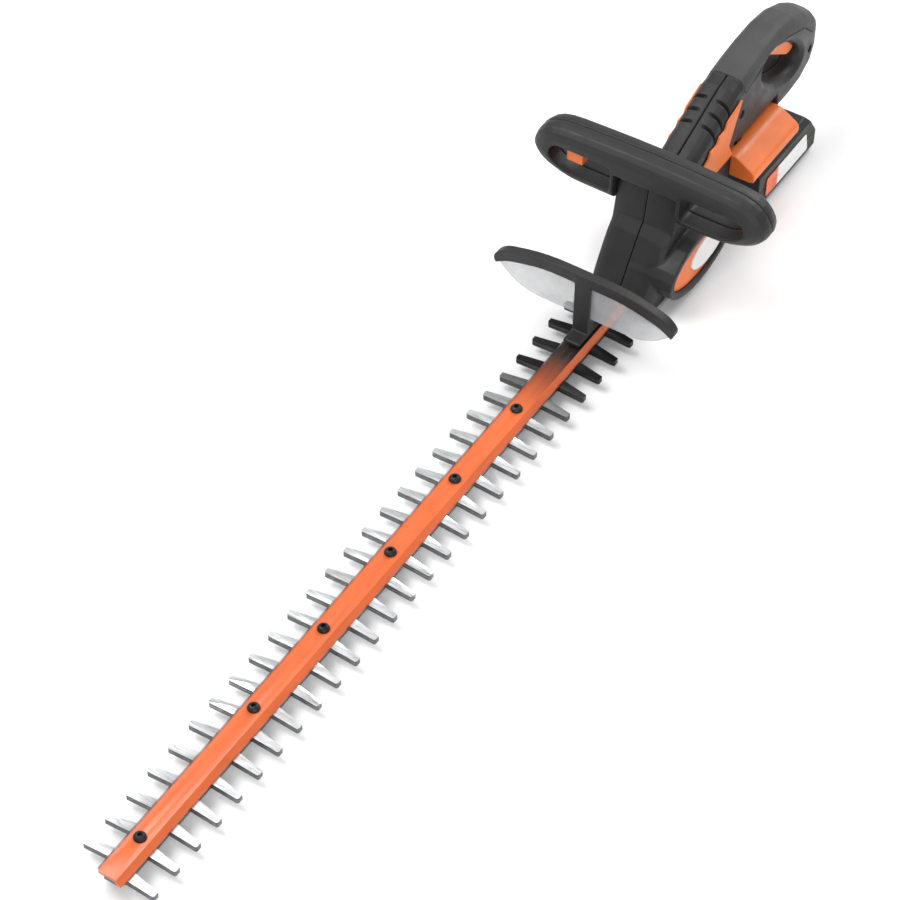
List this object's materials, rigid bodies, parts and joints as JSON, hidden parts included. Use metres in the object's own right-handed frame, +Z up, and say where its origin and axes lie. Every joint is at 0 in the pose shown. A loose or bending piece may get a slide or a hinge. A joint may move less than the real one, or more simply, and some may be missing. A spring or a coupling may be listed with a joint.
{
  "type": "hedge trimmer",
  "caption": "Cordless hedge trimmer with two-sided sliding toothed blades, a support bar, a clear hand guard, a front loop handle, a rear D-shaped handle and a slide-on battery pack",
  "frame": {"origin": "on the flat underside of the gear case, straight below the crank shaft's axis, at the height of the surface the tool rests on", "axes": "+X towards the blade tip, +Y to the user's left, +Z up"},
  "size_m": [0.8625, 0.1882, 0.1275],
  "materials": {
    "black_plastic": "moulded, fine grain",
    "soft_grip": "matt soft moulding",
    "orange_plastic": "moulded, satin",
    "orange_paint": "powder coat",
    "blade_steel": "ground",
    "dark_steel": "black oxide",
    "gear_steel": "machined",
    "cast_alloy": "as cast",
    "winding_copper": "wound",
    "contact_brass": "plated",
    "white_plate": "satin, blank",
    "clear_plastic": "clear moulded sheet",
    "cell_wrap": "shrink wrap",
    "board": "coated board"
  },
  "bodies": {
    "housing": {"left_housing": "black_plastic", "right_housing": "black_plastic", "rear_grip": "soft_grip", "side_accent_panel": "orange_plastic", "blank_side_badge": "white_plate", "left_flank_panel": "orange_plastic", "right_flank_panel": "orange_plastic", "housing_screw_1": "dark_steel", "housing_screw_2": "dark_steel", "housing_screw_3": "dark_steel", "front_handle_rear_half": "black_plastic", "front_handle_front_half": "black_plastic", "front_lever_spring_1": "gear_steel", "front_lever_spring_2": "gear_steel", "front_switch": "black_plastic", "trigger_pin": "gear_steel", "trigger_spring": "gear_steel", "rear_switch": "black_plastic", "control_board": "board", "battery_dock": "orange_plastic", "terminal_block": "contact_brass", "gear_plate": "cast_alloy", "gear_case_cover": "cast_alloy", "cover_screw_1": "dark_steel", "cover_screw_2": "dark_steel", "cover_screw_3": "dark_steel", "cover_screw_4": "dark_steel", "lower_crank_bearing": "gear_steel", "upper_crank_bearing": "gear_steel", "motor_can": "gear_steel", "motor_end_cap": "black_plastic", "blade_support_bar": "orange_paint", "blade_bolt_1": "dark_steel", "blade_bolt_2": "dark_steel", "blade_bolt_3": "dark_steel", "blade_bolt_4": "dark_steel", "blade_bolt_5": "dark_steel", "blade_bolt_6": "dark_steel", "blade_bolt_7": "dark_steel", "guard_bracket": "black_plastic", "clear_guard": "clear_plastic"},
    "crank": {"drive_gear": "gear_steel", "crank_shaft": "gear_steel"},
    "rotor": {"motor_shaft": "gear_steel", "motor_pinion": "gear_steel", "motor_armature": "winding_copper", "cooling_fan": "black_plastic"},
    "upper_blade_body": {"upper_blade": "blade_steel"},
    "lower_blade_body": {"lower_blade": "blade_steel"},
    "front_lever": {"front_switch_lever": "orange_plastic"},
    "trigger": {"rear_trigger": "orange_plastic"},
    "battery": {"battery_lower_case": "black_plastic", "battery_upper_case": "black_plastic", "battery_cells": "cell_wrap", "left_battery_label": "white_plate", "right_battery_label": "white_plate"},
    "battery_latch": {"battery_latch_button": "orange_plastic"}
  },
  "joints": [
    {"name": "crank_spin", "type": "hinge", "parent": "housing", "child": "crank", "pos_m": [0, 0, 0.014], "axis": [0, 0, 1], "continuous": true},
    {"name": "rotor_spin", "type": "hinge", "parent": "housing", "child": "rotor", "pos_m": [-0.02425, 0, 0.014], "axis": [0, 0, 1], "continuous": true},
    {"name": "lower_blade_slide", "type": "slide", "parent": "housing", "child": "lower_blade_body", "axis": [1, 0, 0], "range_m": [-0.00537, 0.00537]},
    {"name": "upper_blade_slide", "type": "slide", "parent": "housing", "child": "upper_blade_body", "axis": [1, 0, 0], "range_m": [-0.00537, 0.00537]},
    {"name": "front_lever_press", "type": "slide", "parent": "housing", "child": "front_lever", "axis": [0, 0, 1], "range_m": [0, 0.004], "stiffness_N_per_m": 800, "springref_m": -0.003, "deforming": ["front_lever_spring_1", "front_lever_spring_2"]},
    {"name": "rear_trigger_pull", "type": "hinge", "parent": "housing", "child": "trigger", "pos_m": [-0.16368, 0, 0.11481], "axis": [0, 1, 0], "range_deg": [0, 6], "stiffness_Nm_per_rad": 0.8, "springref_deg": -2.86, "deforming": ["trigger_spring"]},
    {"name": "battery_slide", "type": "slide", "parent": "housing", "child": "battery", "axis": [-1, 0, 0], "range_m": [0, 0.09]},
    {"name": "battery_latch_press", "type": "slide", "parent": "battery", "child": "battery_latch", "axis": [0, 0, -1], "range_m": [0, 0.0025], "stiffness_N_per_m": 1500, "springref_m": -0.001}
  ],
  "couplings": [
    {"joint": "rotor_spin", "follows": "crank_spin", "ratio": -5},
    {"joint": "upper_blade_slide", "follows": "lower_blade_slide", "ratio": -1}
  ]
}
